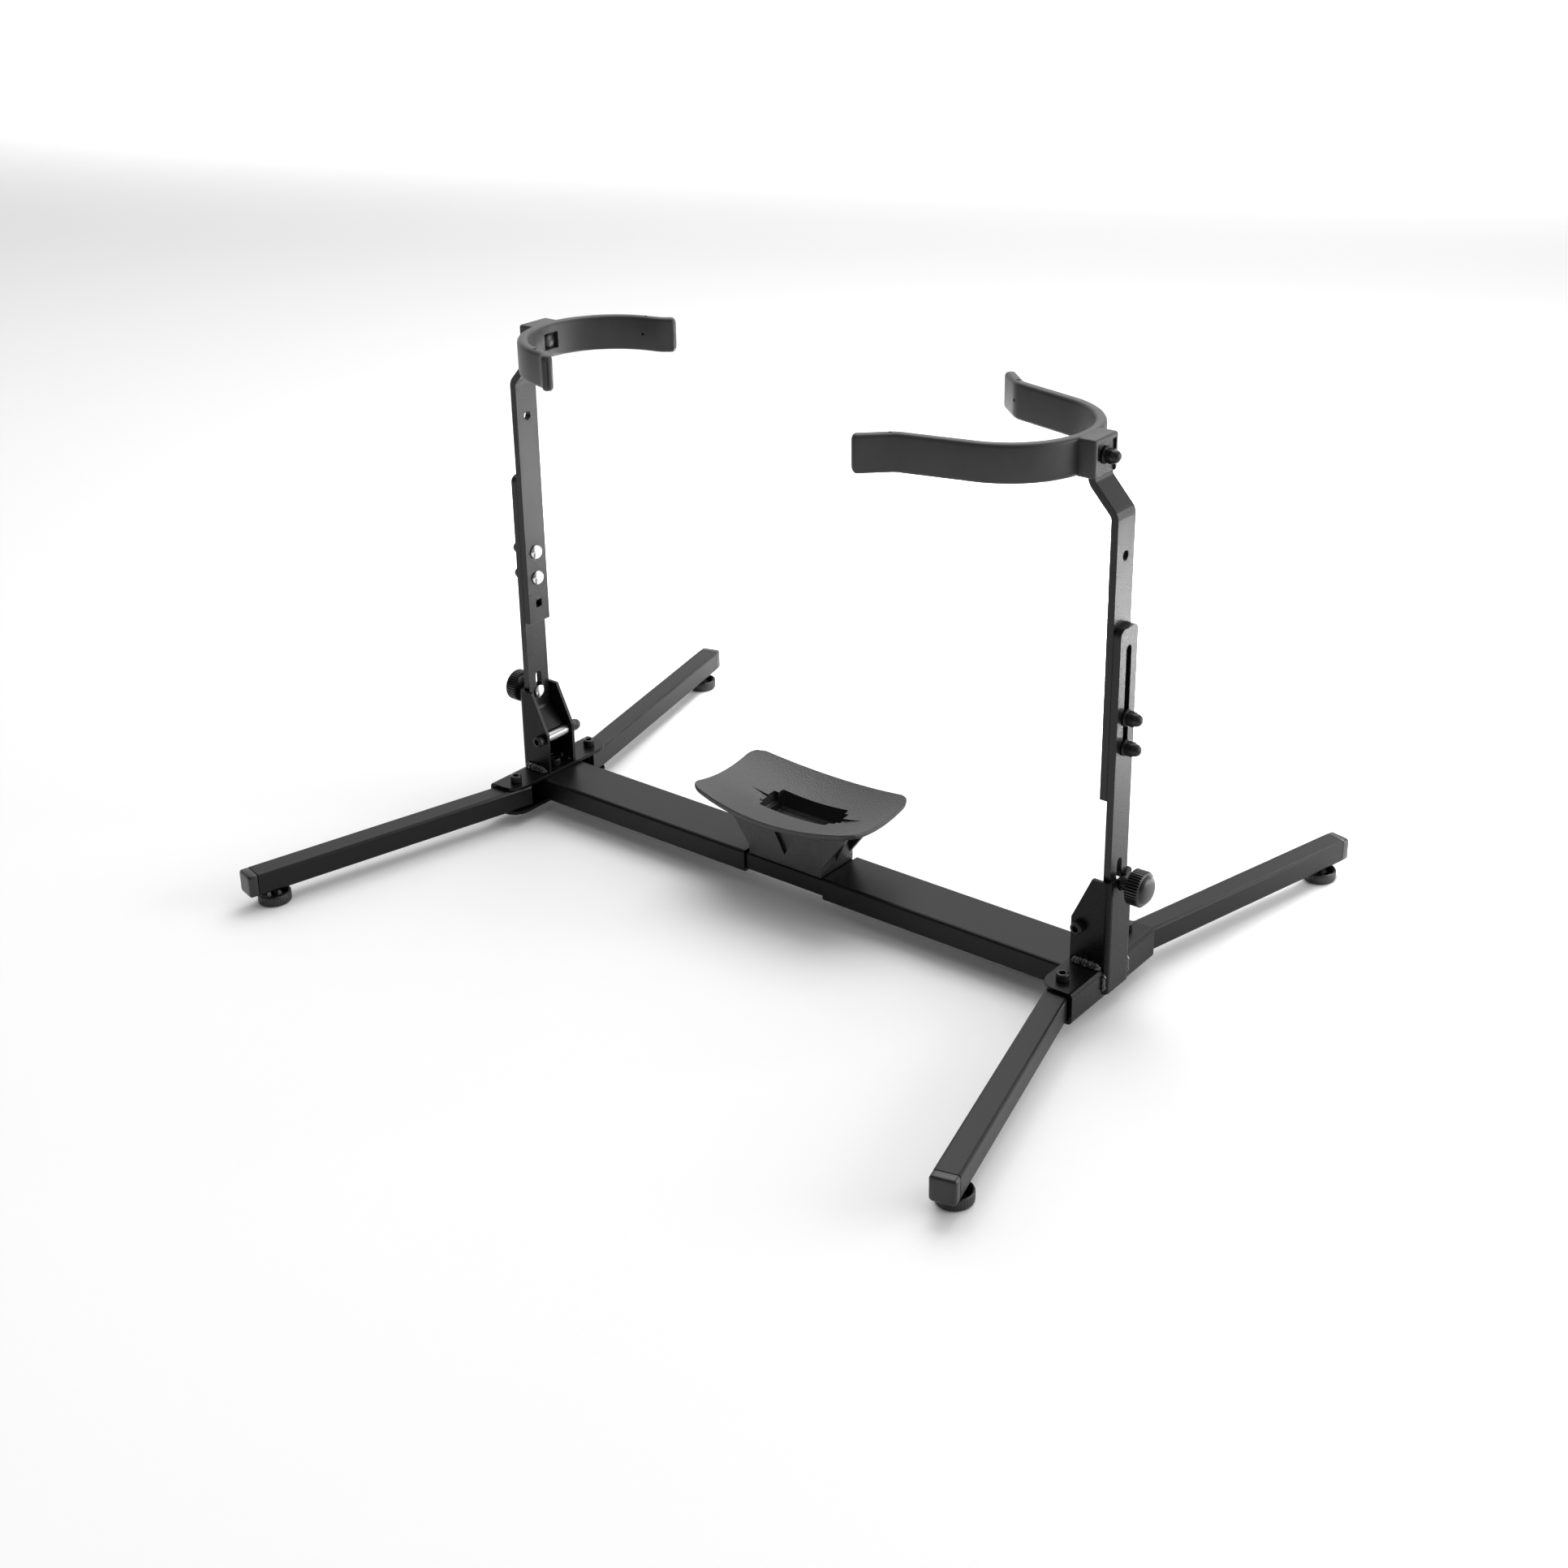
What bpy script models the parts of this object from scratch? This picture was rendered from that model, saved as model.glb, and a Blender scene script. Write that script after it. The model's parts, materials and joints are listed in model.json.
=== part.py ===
"""Folding saxophone stand: telescoping beam, four folding legs, two folding uprights with rubber yokes.

Metres, +Z up. X runs along the beam, Y from front to back. The origin is on the floor under the saddle.
"""
from math import atan2, cos, pi, radians, sin, tan

import bmesh
import bpy
from mathutils import Matrix, Vector

# driving sizes
GAP = 0.0003                    # air between pieces that touch
LEG = 0.020                     # square leg tube
LEG_WALL = 0.0015
FLOOR_TO_LEG = 0.0132
SHEET = 0.003                   # channel and bracket plate
BAR = 0.006                     # flat bar of the uprights
BAR_HALF_WIDTH = 0.0125
SCREW = 0.003                   # shank radius of the M6 hardware
HOLE = 0.0033                   # clearance hole radius
NUT_CORNER = 0.00575
ROUND = 14                      # sides of a small cylinder
SMOOTH = 18                     # sides of a knob or foot

# levels
LEG_TOP = FLOOR_TO_LEG + LEG
CHANNEL_LOW = FLOOR_TO_LEG - GAP - SHEET
CHANNEL_HIGH = LEG_TOP + GAP + SHEET

# beam
BEAM_HALF_WIDTH = 0.0248
BEAM_WALL = 0.002
BEAM_INNER_END = 0.0415
CENTRE_HALF_LENGTH = 0.262
CENTRE_HALF_WIDTH = BEAM_HALF_WIDTH - BEAM_WALL - GAP
WIDTH_TRAVEL = 0.060

# end channels
CHANNEL_WEB = 0.3043            # outer face of the web
CHANNEL_MOUTH = 0.2735          # inner edge of the flanges
CHANNEL_HALF_LENGTH = 0.062
FLANGE_ROUND = 0.014
BEAM_SCREW_X = 0.284

# legs
PIVOT_X = 0.2866
PIVOT_Y = 0.0473
LEG_STUB = 0.0098
LEG_LENGTH = 0.261              # pivot to the cap's outer face
LEG_SPLAY = radians(14.3)
CAP_LENGTH = 0.008
FOOT_FROM_END = 0.0247
FOOT_RADIUS = 0.014

# upright brackets
BRACKET_OUT = CHANNEL_WEB + GAP + SHEET
EAR_OUT = 0.0172
EAR_IN = EAR_OUT - SHEET
EAR_EDGE = 0.2746
BRACKET_TOP = 0.1102
BRACKET_LOW = 0.0150
EAR_TOP_EDGE = 0.2915
EAR_SLOPE_LOW = 0.0733
NOTCH_HALF = 0.0062

# uprights
POST_PIVOT = Vector((0.282, 0.0, 0.0672))
POST_TUBE = 0.0048
POST_FACE = CHANNEL_WEB         # outer face of the lower post
POST_BEND = 0.0890
POST_TOP = 0.3120
POST_ROUND = 0.006
SLOT_HALF = 0.0035
LONG_SLOT = (0.2130, 0.2980)
CLAMP_Z = 0.1052
CLAMP_SLOT_TOP = 0.1252
UPPER_FACE = POST_FACE - BAR - GAP
UPPER_LOW = 0.1750
UPPER_BEND_LOW = 0.3965
UPPER_BEND_HIGH = 0.4185
UPPER_STEP = 0.020
UPPER_TOP = 0.4460
UPPER_HOLE = 0.3650
HEIGHT_BOLTS = (0.2405, 0.2165)
SPARE_HOLE = 0.1923
SQUARE = 0.0033
BEND_RADIUS = 0.009

# yokes
YOKE_Z = 0.4360
YOKE_BACK = 0.2585              # inner face of the yoke's back
YOKE_HEIGHT = 0.0295
YOKE_WALL = 0.009
YOKE_RADIUS = 0.064             # inner radius of the yoke's back
YOKE_OPENING = radians(14)
BLOCK_FACE = 0.2795
CORE_WALL = 0.003
CORE_HEIGHT = 0.018

# saddle
SADDLE_FLOOR = 0.0743
SADDLE_X = 0.084
SADDLE_Y = 0.044
SADDLE_BULGE = 0.19            # how much wider the middle is than the ends
SADDLE_ROUND = 0.012
SADDLE_WALL = 0.0055
BASE_X = 0.0385
BASE_Y = 0.0220

PARTS = bpy.data.collections.new("saxophone_stand")
CUTTERS = bpy.data.collections.new("cutters")


# materials

def material(name, colour, roughness, metallic):
    made = bpy.data.materials.new(name)
    made.use_nodes = True
    shader = made.node_tree.nodes["Principled BSDF"]
    shader.inputs["Base Color"].default_value = (*colour, 1.0)
    shader.inputs["Roughness"].default_value = roughness
    shader.inputs["Metallic"].default_value = metallic
    made.diffuse_color = (*colour, 1.0)
    return made


# mesh tools

def finish(bm, name, weld=1e-6):
    """A mesh from a bmesh, welded and facing outward."""
    bmesh.ops.remove_doubles(bm, verts=bm.verts, dist=weld)
    bmesh.ops.recalc_face_normals(bm, faces=bm.faces)
    mesh = bpy.data.meshes.new(name)
    bm.to_mesh(mesh)
    bm.free()
    return mesh


def add_object(name, mesh, collection=PARTS):
    made = bpy.data.objects.new(name, mesh)
    collection.objects.link(made)
    return made


def evaluated(thing, name):
    """The object's mesh with its curve or modifiers worked out; the object itself is removed."""
    bpy.context.view_layer.update()
    graph = bpy.context.evaluated_depsgraph_get()
    mesh = bpy.data.meshes.new_from_object(thing.evaluated_get(graph))
    bpy.data.objects.remove(thing)
    bm = bmesh.new()
    bm.from_mesh(mesh)
    bpy.data.meshes.remove(mesh)
    return finish(bm, name)


def block(name, low, high):
    """A box between two corners."""
    low = Vector(low)
    high = Vector(high)
    bm = bmesh.new()
    bmesh.ops.create_cube(bm, size=1.0)
    bmesh.ops.scale(bm, vec=high - low, verts=bm.verts)
    bmesh.ops.translate(bm, vec=(high + low) / 2, verts=bm.verts)
    return finish(bm, name)


AXES = {
    "X": Matrix.Rotation(pi / 2, 4, "Y"),
    "Y": Matrix.Rotation(-pi / 2, 4, "X"),
    "Z": Matrix.Identity(4),
}


def rod(name, radius, low, high, centre=(0, 0, 0), axis="Z", sides=ROUND):
    """A cylinder along an axis, from low to high on it, through centre."""
    bm = bmesh.new()
    bmesh.ops.create_cone(bm, cap_ends=True, segments=sides, radius1=radius, radius2=radius, depth=high - low)
    bmesh.ops.translate(bm, vec=(0, 0, (high + low) / 2), verts=bm.verts)
    bmesh.ops.transform(bm, matrix=Matrix.Translation(centre) @ AXES[axis], verts=bm.verts)
    return finish(bm, name)


def turned(name, profile, centre=(0, 0, 0), axis="Z", sides=ROUND):
    """A closed solid turned from (radius, height) points that start and end on the axis."""
    bm = bmesh.new()
    points = [bm.verts.new((r, 0, z)) for r, z in profile]
    for here, there in zip(points, points[1:]):
        bm.edges.new((here, there))
    raw = bpy.data.meshes.new(name)
    bm.to_mesh(raw)
    bm.free()
    holder = add_object(name, raw)
    screw = holder.modifiers.new("turn", "SCREW")
    screw.steps = sides
    screw.render_steps = sides
    screw.use_merge_vertices = True
    screw.merge_threshold = 1e-5
    mesh = evaluated(holder, name)
    bpy.data.meshes.remove(raw)
    mesh.transform(Matrix.Translation(centre) @ AXES[axis])
    return mesh


PLANES = {
    "XY": Matrix.Identity(4),
    "XZ": Matrix.Rotation(pi / 2, 4, "X"),
    "YZ": Matrix(((0, 0, 1, 0), (1, 0, 0, 0), (0, 1, 0, 0), (0, 0, 0, 1))),
}


def plate(name, outline, low, high, plane="XY", holes=()):
    """An outline in a plane, made solid from low to high along the plane's normal.

    The normal is +Z for XY, -Y for XZ and +X for YZ.
    """
    curve = bpy.data.curves.new(name, "CURVE")
    curve.dimensions = "2D"
    curve.fill_mode = "BOTH"
    curve.extrude = (high - low) / 2
    for ring in (outline, *holes):
        spline = curve.splines.new("POLY")
        spline.points.add(len(ring) - 1)
        for point, (a, b) in zip(spline.points, ring):
            point.co = (a, b, 0, 1)
        spline.use_cyclic_u = True
    holder = add_object(name, curve)
    mesh = evaluated(holder, name)
    bpy.data.curves.remove(curve)
    mesh.transform(PLANES[plane] @ Matrix.Translation((0, 0, (high + low) / 2)))
    return mesh


def arc(centre, radius, start, end, steps):
    """Points on an arc, angles in radians."""
    turns = [start + (end - start) * i / steps for i in range(steps + 1)]
    return [(centre[0] + radius * cos(a), centre[1] + radius * sin(a)) for a in turns]


def stadium(centre, half_width, low, high, steps=5):
    """A slot with round ends, long in its second coordinate."""
    top = arc((centre, high - half_width), half_width, 0, pi, steps)
    foot = arc((centre, low + half_width), half_width, pi, 2 * pi, steps)
    return top + foot


def bent(points, radius, steps=5):
    """The line through the points, with a round bend at each inner one."""
    line = [Vector(points[0])]
    for before, corner, after in zip(points, points[1:], points[2:]):
        corner = Vector(corner)
        to_start = (Vector(before) - corner).normalized()
        to_end = (Vector(after) - corner).normalized()
        half = to_start.angle(to_end) / 2
        reach = radius / tan(half)
        centre = corner + (to_start + to_end).normalized() * radius / sin(half)
        first = corner + to_start * reach - centre
        last = corner + to_end * reach - centre
        turn = first.angle_signed(last)
        for i in range(steps + 1):
            line.append(centre + Matrix.Rotation(-turn * i / steps, 2) @ first)
    line.append(Vector(points[-1]))
    return line


def strip(line, thickness):
    """The outline of a strip with this thickness around a line."""
    sides = ([], [])
    for i, point in enumerate(line):
        before = (point - line[i - 1]).normalized() if i else None
        after = (line[i + 1] - point).normalized() if i + 1 < len(line) else None
        along = ((before or after) + (after or before)).normalized()
        reach = thickness / 2 / (along.dot(after or before))
        across = Vector((-along.y, along.x)) * reach
        sides[0].append(tuple(point + across))
        sides[1].append(tuple(point - across))
    return sides[0] + sides[1][::-1]


def settle(mesh, origin, mirror):
    """Mirrors a right-hand, front mesh to its side and measures it from the part's origin."""
    mesh.transform(Matrix.Diagonal((mirror[0], mirror[1], 1, 1)))
    if mirror[0] * mirror[1] < 0:
        mesh.flip_normals()
    mesh.transform(Matrix.Translation(-Vector(origin)))
    return mesh


def join(target, mesh, operation="UNION"):
    """Adds (or cuts) a mesh to a part with an exact Boolean that stays live on the part."""
    settle(mesh, target.location, tuple(target["mirror"]))
    tool = add_object(f"{target.name}_tool_{len(target.modifiers)}", mesh, CUTTERS)
    tool.hide_render = True
    tool.display_type = "WIRE"
    tool.parent = target
    boolean = target.modifiers.new(operation.lower(), "BOOLEAN")
    boolean.operation = operation
    boolean.solver = "EXACT"
    boolean.object = tool


def cut(target, mesh):
    join(target, mesh, "DIFFERENCE")


def soften(target, width, segments=2, angle=40):
    bevel = target.modifiers.new("soften", "BEVEL")
    bevel.width = width
    bevel.segments = segments
    bevel.limit_method = "ANGLE"
    bevel.angle_limit = radians(angle)
    bevel.use_clamp_overlap = True


def part(name, mesh, look, origin=(0, 0, 0), mirror=(1, 1)):
    """A named piece, drawn for the right front and mirrored to its side; its origin is on its joint."""
    origin = (origin[0] * mirror[0], origin[1] * mirror[1], origin[2])
    made = add_object(name, mesh)
    made.location = origin
    made["mirror"] = mirror
    settle(mesh, origin, mirror)
    mesh.materials.clear()
    mesh.materials.append(look)
    return made


def placed(mesh, centre, axis="Z", flip=False):
    """Moves a mesh drawn along +Z so that it lies along an axis, or against it."""
    turn = AXES[axis] @ (Matrix.Rotation(pi, 4, "X") if flip else Matrix.Identity(4))
    mesh.transform(Matrix.Translation(centre) @ turn)
    return mesh


def box_outline(half_width, half_height, centre=(0, 0), radius=0.0, steps=2):
    """A rectangle with round corners."""
    ring = []
    for i, (a, b) in enumerate(((1, 1), (-1, 1), (-1, -1), (1, -1))):
        corner = (centre[0] + a * (half_width - radius), centre[1] + b * (half_height - radius))
        if radius:
            ring += arc(corner, radius, i * pi / 2, (i + 1) * pi / 2, steps)
        else:
            ring.append(corner)
    return ring


# hardware

def cap_screw(name, length, look, centre, axis="Z", flip=False, origin=(0, 0, 0), mirror=(1, 1)):
    """Socket cap screw pointing down from its seat at height 0, head up."""
    head = 0.0050
    height = 0.0060
    profile = [
        (0, height - 0.0032),
        (0.0026, height - 0.0032),
        (0.0030, height),
        (head - 0.0006, height),
        (head, height - 0.0008),
        (head, 0),
        (SCREW, 0),
        (SCREW, -length),
        (0, -length),
    ]
    return part(name, placed(turned(name, profile), centre, axis, flip), look, origin, mirror)


def carriage_bolt(name, length, neck, look, centre, flip, origin, mirror):
    """Domed bolt along X with a square neck under its head; it points down from its seat."""
    head = 0.0065
    rise = 0.0033
    radius = (head * head + rise * rise) / (2 * rise)
    spread = atan2(head, radius - rise)
    profile = [
        (radius * sin(spread * i / 3), rise - radius * (1 - cos(spread * i / 3)))
        for i in range(4)
    ]
    profile += [(SCREW, 0), (SCREW, -length), (0, -length)]
    bolt = part(name, placed(turned(name, profile), centre, "X", flip), look, origin, mirror)
    if neck:
        square = block(name, (-SCREW, -SCREW, -neck), (SCREW, SCREW, 0.0008))
        join(bolt, placed(square, centre, "X", flip))
    return bolt


def dome_nut(name, look, centre, axis, flip, origin, mirror, length=0.0135):
    """Domed hex nut with a collar at its seat and a blind bore."""
    collar = 0.0018
    top = length - 0.0045
    hexagon = placed(rod(name, NUT_CORNER, 0.0008, top, sides=6), centre, axis, flip)
    nut = part(name, hexagon, look, origin, mirror)
    dome = [(0.0049 * cos(a), top - 0.0004 + 0.0049 * sin(a)) for a in (pi / 2, 1.0, 0.5, 0)]
    dome[0] = (0, dome[0][1])
    join(nut, placed(turned(name, dome + [(0.0049, top - 0.003), (0, top - 0.003)]), centre, axis, flip))
    base = [(0, collar), (0.0056, collar), (0.0066, collar * 0.6), (0.0066, 0), (0, 0)]
    join(nut, placed(turned(name, base), centre, axis, flip))
    cut(nut, placed(rod(name, HOLE, -0.001, top - 0.001, sides=10), centre, axis, flip))
    return nut


# base

def centre_tube(look):
    low = FLOOR_TO_LEG + BEAM_WALL + 0.0004
    high = LEG_TOP - BEAM_WALL - 0.0003
    middle = (0, (low + high) / 2)
    half = (high - low) / 2
    outline = box_outline(CENTRE_HALF_WIDTH, half, middle, 0.0012)
    bore = box_outline(CENTRE_HALF_WIDTH - 0.0018, half - 0.0018, middle)
    mesh = plate("centre_tube", outline, -CENTRE_HALF_LENGTH, CENTRE_HALF_LENGTH, "YZ", [bore])
    return part("centre_tube", mesh, look)


def beam_tube(name, look, mirror):
    middle = (0, FLOOR_TO_LEG + LEG / 2)
    outline = box_outline(BEAM_HALF_WIDTH, LEG / 2, middle, 0.0022)
    bore = box_outline(BEAM_HALF_WIDTH - BEAM_WALL, LEG / 2 - BEAM_WALL, middle, 0.0008, 1)
    mesh = plate(name, outline, BEAM_INNER_END, CHANNEL_WEB - SHEET - 0.0012, "YZ", [bore])
    tube = part(name, mesh, look, (0, 0, 0), mirror)
    cut(tube, rod(name, HOLE, 0.005, 0.045, (BEAM_SCREW_X, 0, 0)))
    return tube


def end_channel(name, look, mirror):
    low = CHANNEL_LOW + SHEET / 2
    high = CHANNEL_HIGH - SHEET / 2
    web = CHANNEL_WEB - SHEET / 2
    line = bent([(CHANNEL_MOUTH, low), (web, low), (web, high), (CHANNEL_MOUTH, high)], 0.0022, 3)
    mesh = plate(name, strip(line, SHEET), -CHANNEL_HALF_LENGTH, CHANNEL_HALF_LENGTH, "XZ")
    channel = part(name, mesh, look, (0, 0, 0), mirror)
    inner = (CHANNEL_MOUTH + FLANGE_ROUND, CHANNEL_HALF_LENGTH - FLANGE_ROUND)
    corners = arc(inner, FLANGE_ROUND, pi / 2, pi, 4)
    corners += arc((inner[0], -inner[1]), FLANGE_ROUND, pi, 3 * pi / 2, 4)
    corners += [(0.31, -CHANNEL_HALF_LENGTH), (0.31, CHANNEL_HALF_LENGTH)]
    join(channel, plate(name, corners, 0.005, 0.045), "INTERSECT")
    for place in ((BEAM_SCREW_X, 0, 0), (PIVOT_X, PIVOT_Y, 0), (PIVOT_X, -PIVOT_Y, 0)):
        cut(channel, rod(name, HOLE, 0.005, 0.045, place))
    return channel


def bracket(name, look, mirror):
    ear = EAR_OUT - SHEET / 2
    web = BRACKET_OUT - SHEET / 2
    line = bent([(EAR_EDGE, -ear), (web, -ear), (web, ear), (EAR_EDGE, ear)], 0.0030, 4)
    made = part(name, plate(name, strip(line, SHEET), BRACKET_LOW, BRACKET_TOP), look, (0, 0, 0), mirror)
    cut(made, block(name, (0.26, -0.03, 0), (CHANNEL_WEB + 0.0002, 0.03, CHANNEL_HIGH + GAP)))
    slope = [(0.26, EAR_SLOPE_LOW), (EAR_EDGE, EAR_SLOPE_LOW), (EAR_TOP_EDGE, BRACKET_TOP)]
    slope += [(EAR_TOP_EDGE, 0.12), (0.26, 0.12)]
    cut(made, plate(name, slope, -0.03, 0.03, "XZ"))
    notch = [(-NOTCH_HALF, 0.115), (-0.0047, 0.1010), (-0.0030, 0.0992), (0.0030, 0.0992)]
    notch += [(0.0047, 0.1010), (NOTCH_HALF, 0.115)]
    cut(made, plate(name, notch, 0.300, 0.315, "YZ"))
    cut(made, rod(name, HOLE, -0.03, 0.03, POST_PIVOT, "Y"))
    return made


def saddle_height(x, y):
    return SADDLE_FLOOR + 1.84 * x * x + 3.79 * y * y


def edge_reach(dx, dy):
    """How far a ray from the dish's centre runs before it leaves a rectangle with round corners."""
    reach = min(SADDLE_X / max(dx, 1e-9), SADDLE_Y / max(dy, 1e-9))
    corner = (SADDLE_X - SADDLE_ROUND, SADDLE_Y - SADDLE_ROUND)
    if dx * reach > corner[0] and dy * reach > corner[1]:
        square = dx * dx + dy * dy
        along = (dx * corner[0] + dy * corner[1]) / square
        rest = (corner[0] ** 2 + corner[1] ** 2 - SADDLE_ROUND ** 2) / square
        reach = along + max(along * along - rest, 0.0) ** 0.5
    return reach


def saddle_point(u, v):
    """A place on the dish for u and v from -1 to 1: a rectangle with round corners and bulging long edges."""
    scale = max(abs(u), abs(v))
    if not scale:
        return 0.0, 0.0
    dx = SADDLE_X * u / scale
    dy = SADDLE_Y * v / scale
    reach = edge_reach(abs(dx), abs(dy)) * scale
    x = dx * reach
    y = dy * reach
    return x, y * (1 + SADDLE_BULGE * (1 - (x / SADDLE_X) ** 2))


def saddle(look):
    """Dished rest moulded on a hollow foot, with a window in the dish and gussets at its ends."""
    across = 16
    deep = 8
    bm = bmesh.new()
    rows = {0: [], 1: []}
    for layer in rows:
        for i in range(across + 1):
            row = []
            for j in range(deep + 1):
                x, y = saddle_point(2 * i / across - 1, 2 * j / deep - 1)
                drop = layer * SADDLE_WALL
                place = (x * (1 - 0.02 * layer), y * (1 - 0.03 * layer), saddle_height(x, y) - drop)
                row.append(bm.verts.new(place))
            rows[layer].append(row)
    for layer, grid in rows.items():
        for i in range(across):
            for j in range(deep):
                ring = (grid[i][j], grid[i + 1][j], grid[i + 1][j + 1], grid[i][j + 1])
                bm.faces.new(ring if layer == 0 else ring[::-1])
    rim = [(i, 0) for i in range(across)] + [(across, j) for j in range(deep)]
    rim += [(across - i, deep) for i in range(across)] + [(0, deep - j) for j in range(deep)]
    for here, there in zip(rim, rim[1:] + rim[:1]):
        top = (rows[0][here[0]][here[1]], rows[0][there[0]][there[1]])
        foot = (rows[1][there[0]][there[1]], rows[1][here[0]][here[1]])
        bm.faces.new((top[1], top[0], foot[1], foot[0]))
    made = part("saddle", finish(bm, "saddle"), look)
    stand = LEG_TOP - BEAM_WALL
    join(made, block("saddle", (-BASE_X, -BASE_Y, stand), (BASE_X, BASE_Y, 0.0722)))
    for end in (-1, 1):
        gusset = [(end * 0.0375, 0.038), (end * 0.0670, 0.0785), (end * 0.0375, 0.0725)]
        for middle in (-0.0175, 0.0175):
            join(made, plate("saddle", gusset, middle - 0.002, middle + 0.002, "XZ"))
    join(made, plate("saddle", [(0.0375, 0.036), (0.0560, 0.0755), (0.0375, 0.0725)], -0.0015, 0.0015, "XZ"))
    cut(made, block("saddle", (-0.032, -0.0155, 0.0600), (0.038, 0.0175, 0.1)))
    for end, reach in ((0.003 - 0.0350, -0.003), (0.003 + 0.0350, 0.003)):
        low, high = sorted((end - reach, end + reach))
        cut(made, block("saddle", (low, -0.0095, 0.0665), (high, 0.0115, 0.1)))
    recess = [(-0.0130, 0.0655), (0.0, 0.0415), (0.0130, 0.0655)]
    cut(made, plate("saddle", recess, BASE_Y - 0.0030, BASE_Y + 0.01, "XZ"))
    cut(made, block("saddle", (-0.0350, -0.0172, 0.02), (0.0350, 0.0185, 0.0560)))
    return made


# legs, drawn for the right front

def leg_frame():
    """Turns things drawn along +X from the pivot to the leg's open direction."""
    return Matrix.Translation((PIVOT_X, -PIVOT_Y, 0)) @ Matrix.Rotation(LEG_SPLAY - pi / 2, 4, "Z")


def along_leg(mesh):
    mesh.transform(leg_frame())
    return mesh


def leg(corner, looks, mirror):
    pivot = (PIVOT_X, -PIVOT_Y, FLOOR_TO_LEG + LEG / 2)
    middle = (0, FLOOR_TO_LEG + LEG / 2)
    end = LEG_LENGTH - CAP_LENGTH - GAP
    name = f"{corner}_leg"
    bore_half = LEG / 2 - LEG_WALL
    mesh = plate(name, box_outline(LEG / 2, LEG / 2, middle, 0.0022), -LEG_STUB, end, "YZ",
                 [box_outline(bore_half, bore_half, middle, 0.0008, 1)])
    tube = part(name, along_leg(mesh), looks["tube"], pivot, mirror)
    cut(tube, along_leg(rod(name, HOLE, 0.005, 0.045)))
    foot_at = LEG_LENGTH - FOOT_FROM_END
    cut(tube, along_leg(rod(name, 0.0036, 0.005, 0.025, (foot_at, 0, 0))))

    name = f"{corner}_leg_cap"
    outline = box_outline(LEG / 2, LEG / 2, middle, 0.0026)
    mesh = plate(name, outline, LEG_LENGTH - CAP_LENGTH, LEG_LENGTH, "YZ")
    cap = part(name, along_leg(mesh), looks["plastic"], pivot, mirror)
    soften(cap, 0.0012, 1)
    half = bore_half - 0.0006
    plug = block(name, (end - 0.009, -half, middle[1] - half), (LEG_LENGTH - 0.005, half, middle[1] + half))
    join(cap, along_leg(plug))

    seat = CHANNEL_HIGH + GAP
    place = (PIVOT_X, -PIVOT_Y, seat)
    cap_screw(f"{corner}_leg_pivot_screw", seat - 0.0044, looks["screw"], place, mirror=mirror)

    name = f"{corner}_leg_pivot_nut"
    high = CHANNEL_LOW - GAP
    mesh = rod(name, NUT_CORNER, high - 0.0050, high, (PIVOT_X, -PIVOT_Y, 0), sides=6)
    nut = part(name, mesh, looks["zinc"], (0, 0, 0), mirror)
    cut(nut, rod(name, HOLE, 0, 0.02, (PIVOT_X, -PIVOT_Y, 0), sides=10))

    name = f"{corner}_levelling_foot"
    profile = [
        (0, 0.0275), (SCREW, 0.0275), (SCREW, 0.0060), (0.0068, 0.0060), (0.0068, 0.0028),
        (0.0112, 0.0028), (0.0120, 0.0090), (0.0135, 0.0090), (FOOT_RADIUS, 0.0020),
        (0.0128, 0), (0, 0),
    ]
    at = leg_frame() @ Vector((foot_at, 0, 0))
    mesh = placed(turned(name, profile, sides=SMOOTH), at)
    part(name, mesh, looks["plastic"], tuple(at), mirror)


# uprights, drawn for the right

def post_line():
    mid = POST_FACE - BAR / 2
    corner = Vector((mid, POST_BEND))
    pivot = Vector((POST_PIVOT.x, POST_PIVOT.z))
    start = pivot + (corner - pivot).normalized() * (POST_TUBE + GAP)
    return bent([tuple(start), tuple(corner), (mid, POST_TOP)], BEND_RADIUS, 5)


def lower_post(name, look, mirror):
    mesh = plate(name, strip(post_line(), BAR), -BAR_HALF_WIDTH, BAR_HALF_WIDTH, "XZ")
    post = part(name, mesh, look, POST_PIVOT, mirror)
    half = BAR_HALF_WIDTH + 0.0005
    corner = (BAR_HALF_WIDTH - POST_ROUND, POST_TOP - POST_ROUND)
    face = [(-half, 0.05), (half, 0.05), (half, 0.29)]
    face += arc(corner, POST_ROUND, 0, pi / 2, 5)
    face += arc((-corner[0], corner[1]), POST_ROUND, pi / 2, pi, 5)
    face.append((-half, 0.29))
    slots = [
        stadium(0, SLOT_HALF, *LONG_SLOT),
        stadium(0, SLOT_HALF, CLAMP_Z - SLOT_HALF, CLAMP_SLOT_TOP),
    ]
    join(post, plate(name, face, 0.27, 0.32, "YZ", slots), "INTERSECT")
    return post


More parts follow.
